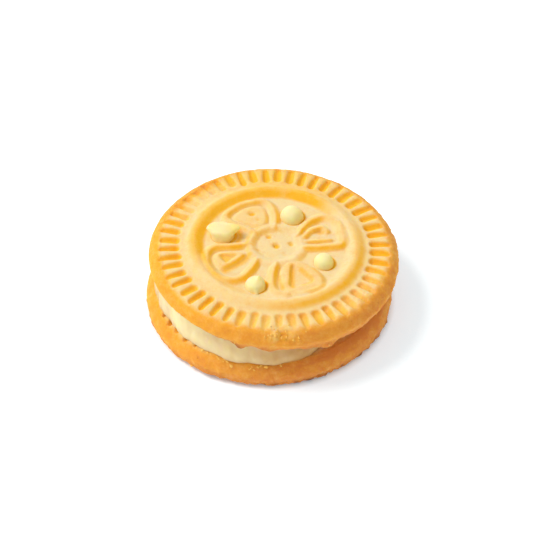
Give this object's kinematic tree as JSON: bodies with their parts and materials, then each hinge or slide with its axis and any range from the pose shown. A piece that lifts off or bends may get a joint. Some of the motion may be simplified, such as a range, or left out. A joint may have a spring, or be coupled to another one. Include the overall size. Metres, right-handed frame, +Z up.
{
  "type": "sandwich biscuit",
  "caption": "Round cream sandwich biscuit: moulded biscuits with a flower and a grooved rim, cream between them and squeezed up as beads through the upper one.",
  "frame": {"origin": "centre of the lower biscuit's flat underside, on the table", "axes": "+Z up through the biscuits, +X to the side the upper biscuit slopes down to"},
  "size_m": [0.0507, 0.0498, 0.0184],
  "materials": {
    "browned_biscuit": "matte, dry and finely pored",
    "baked_biscuit": "matte, dry and finely pored",
    "cream": "satin, smooth and slightly greasy"
  },
  "bodies": {
    "root": {"bottom_biscuit": "browned_biscuit", "cream_filling": "cream", "top_biscuit": "baked_biscuit"}
  },
  "joints": []
}
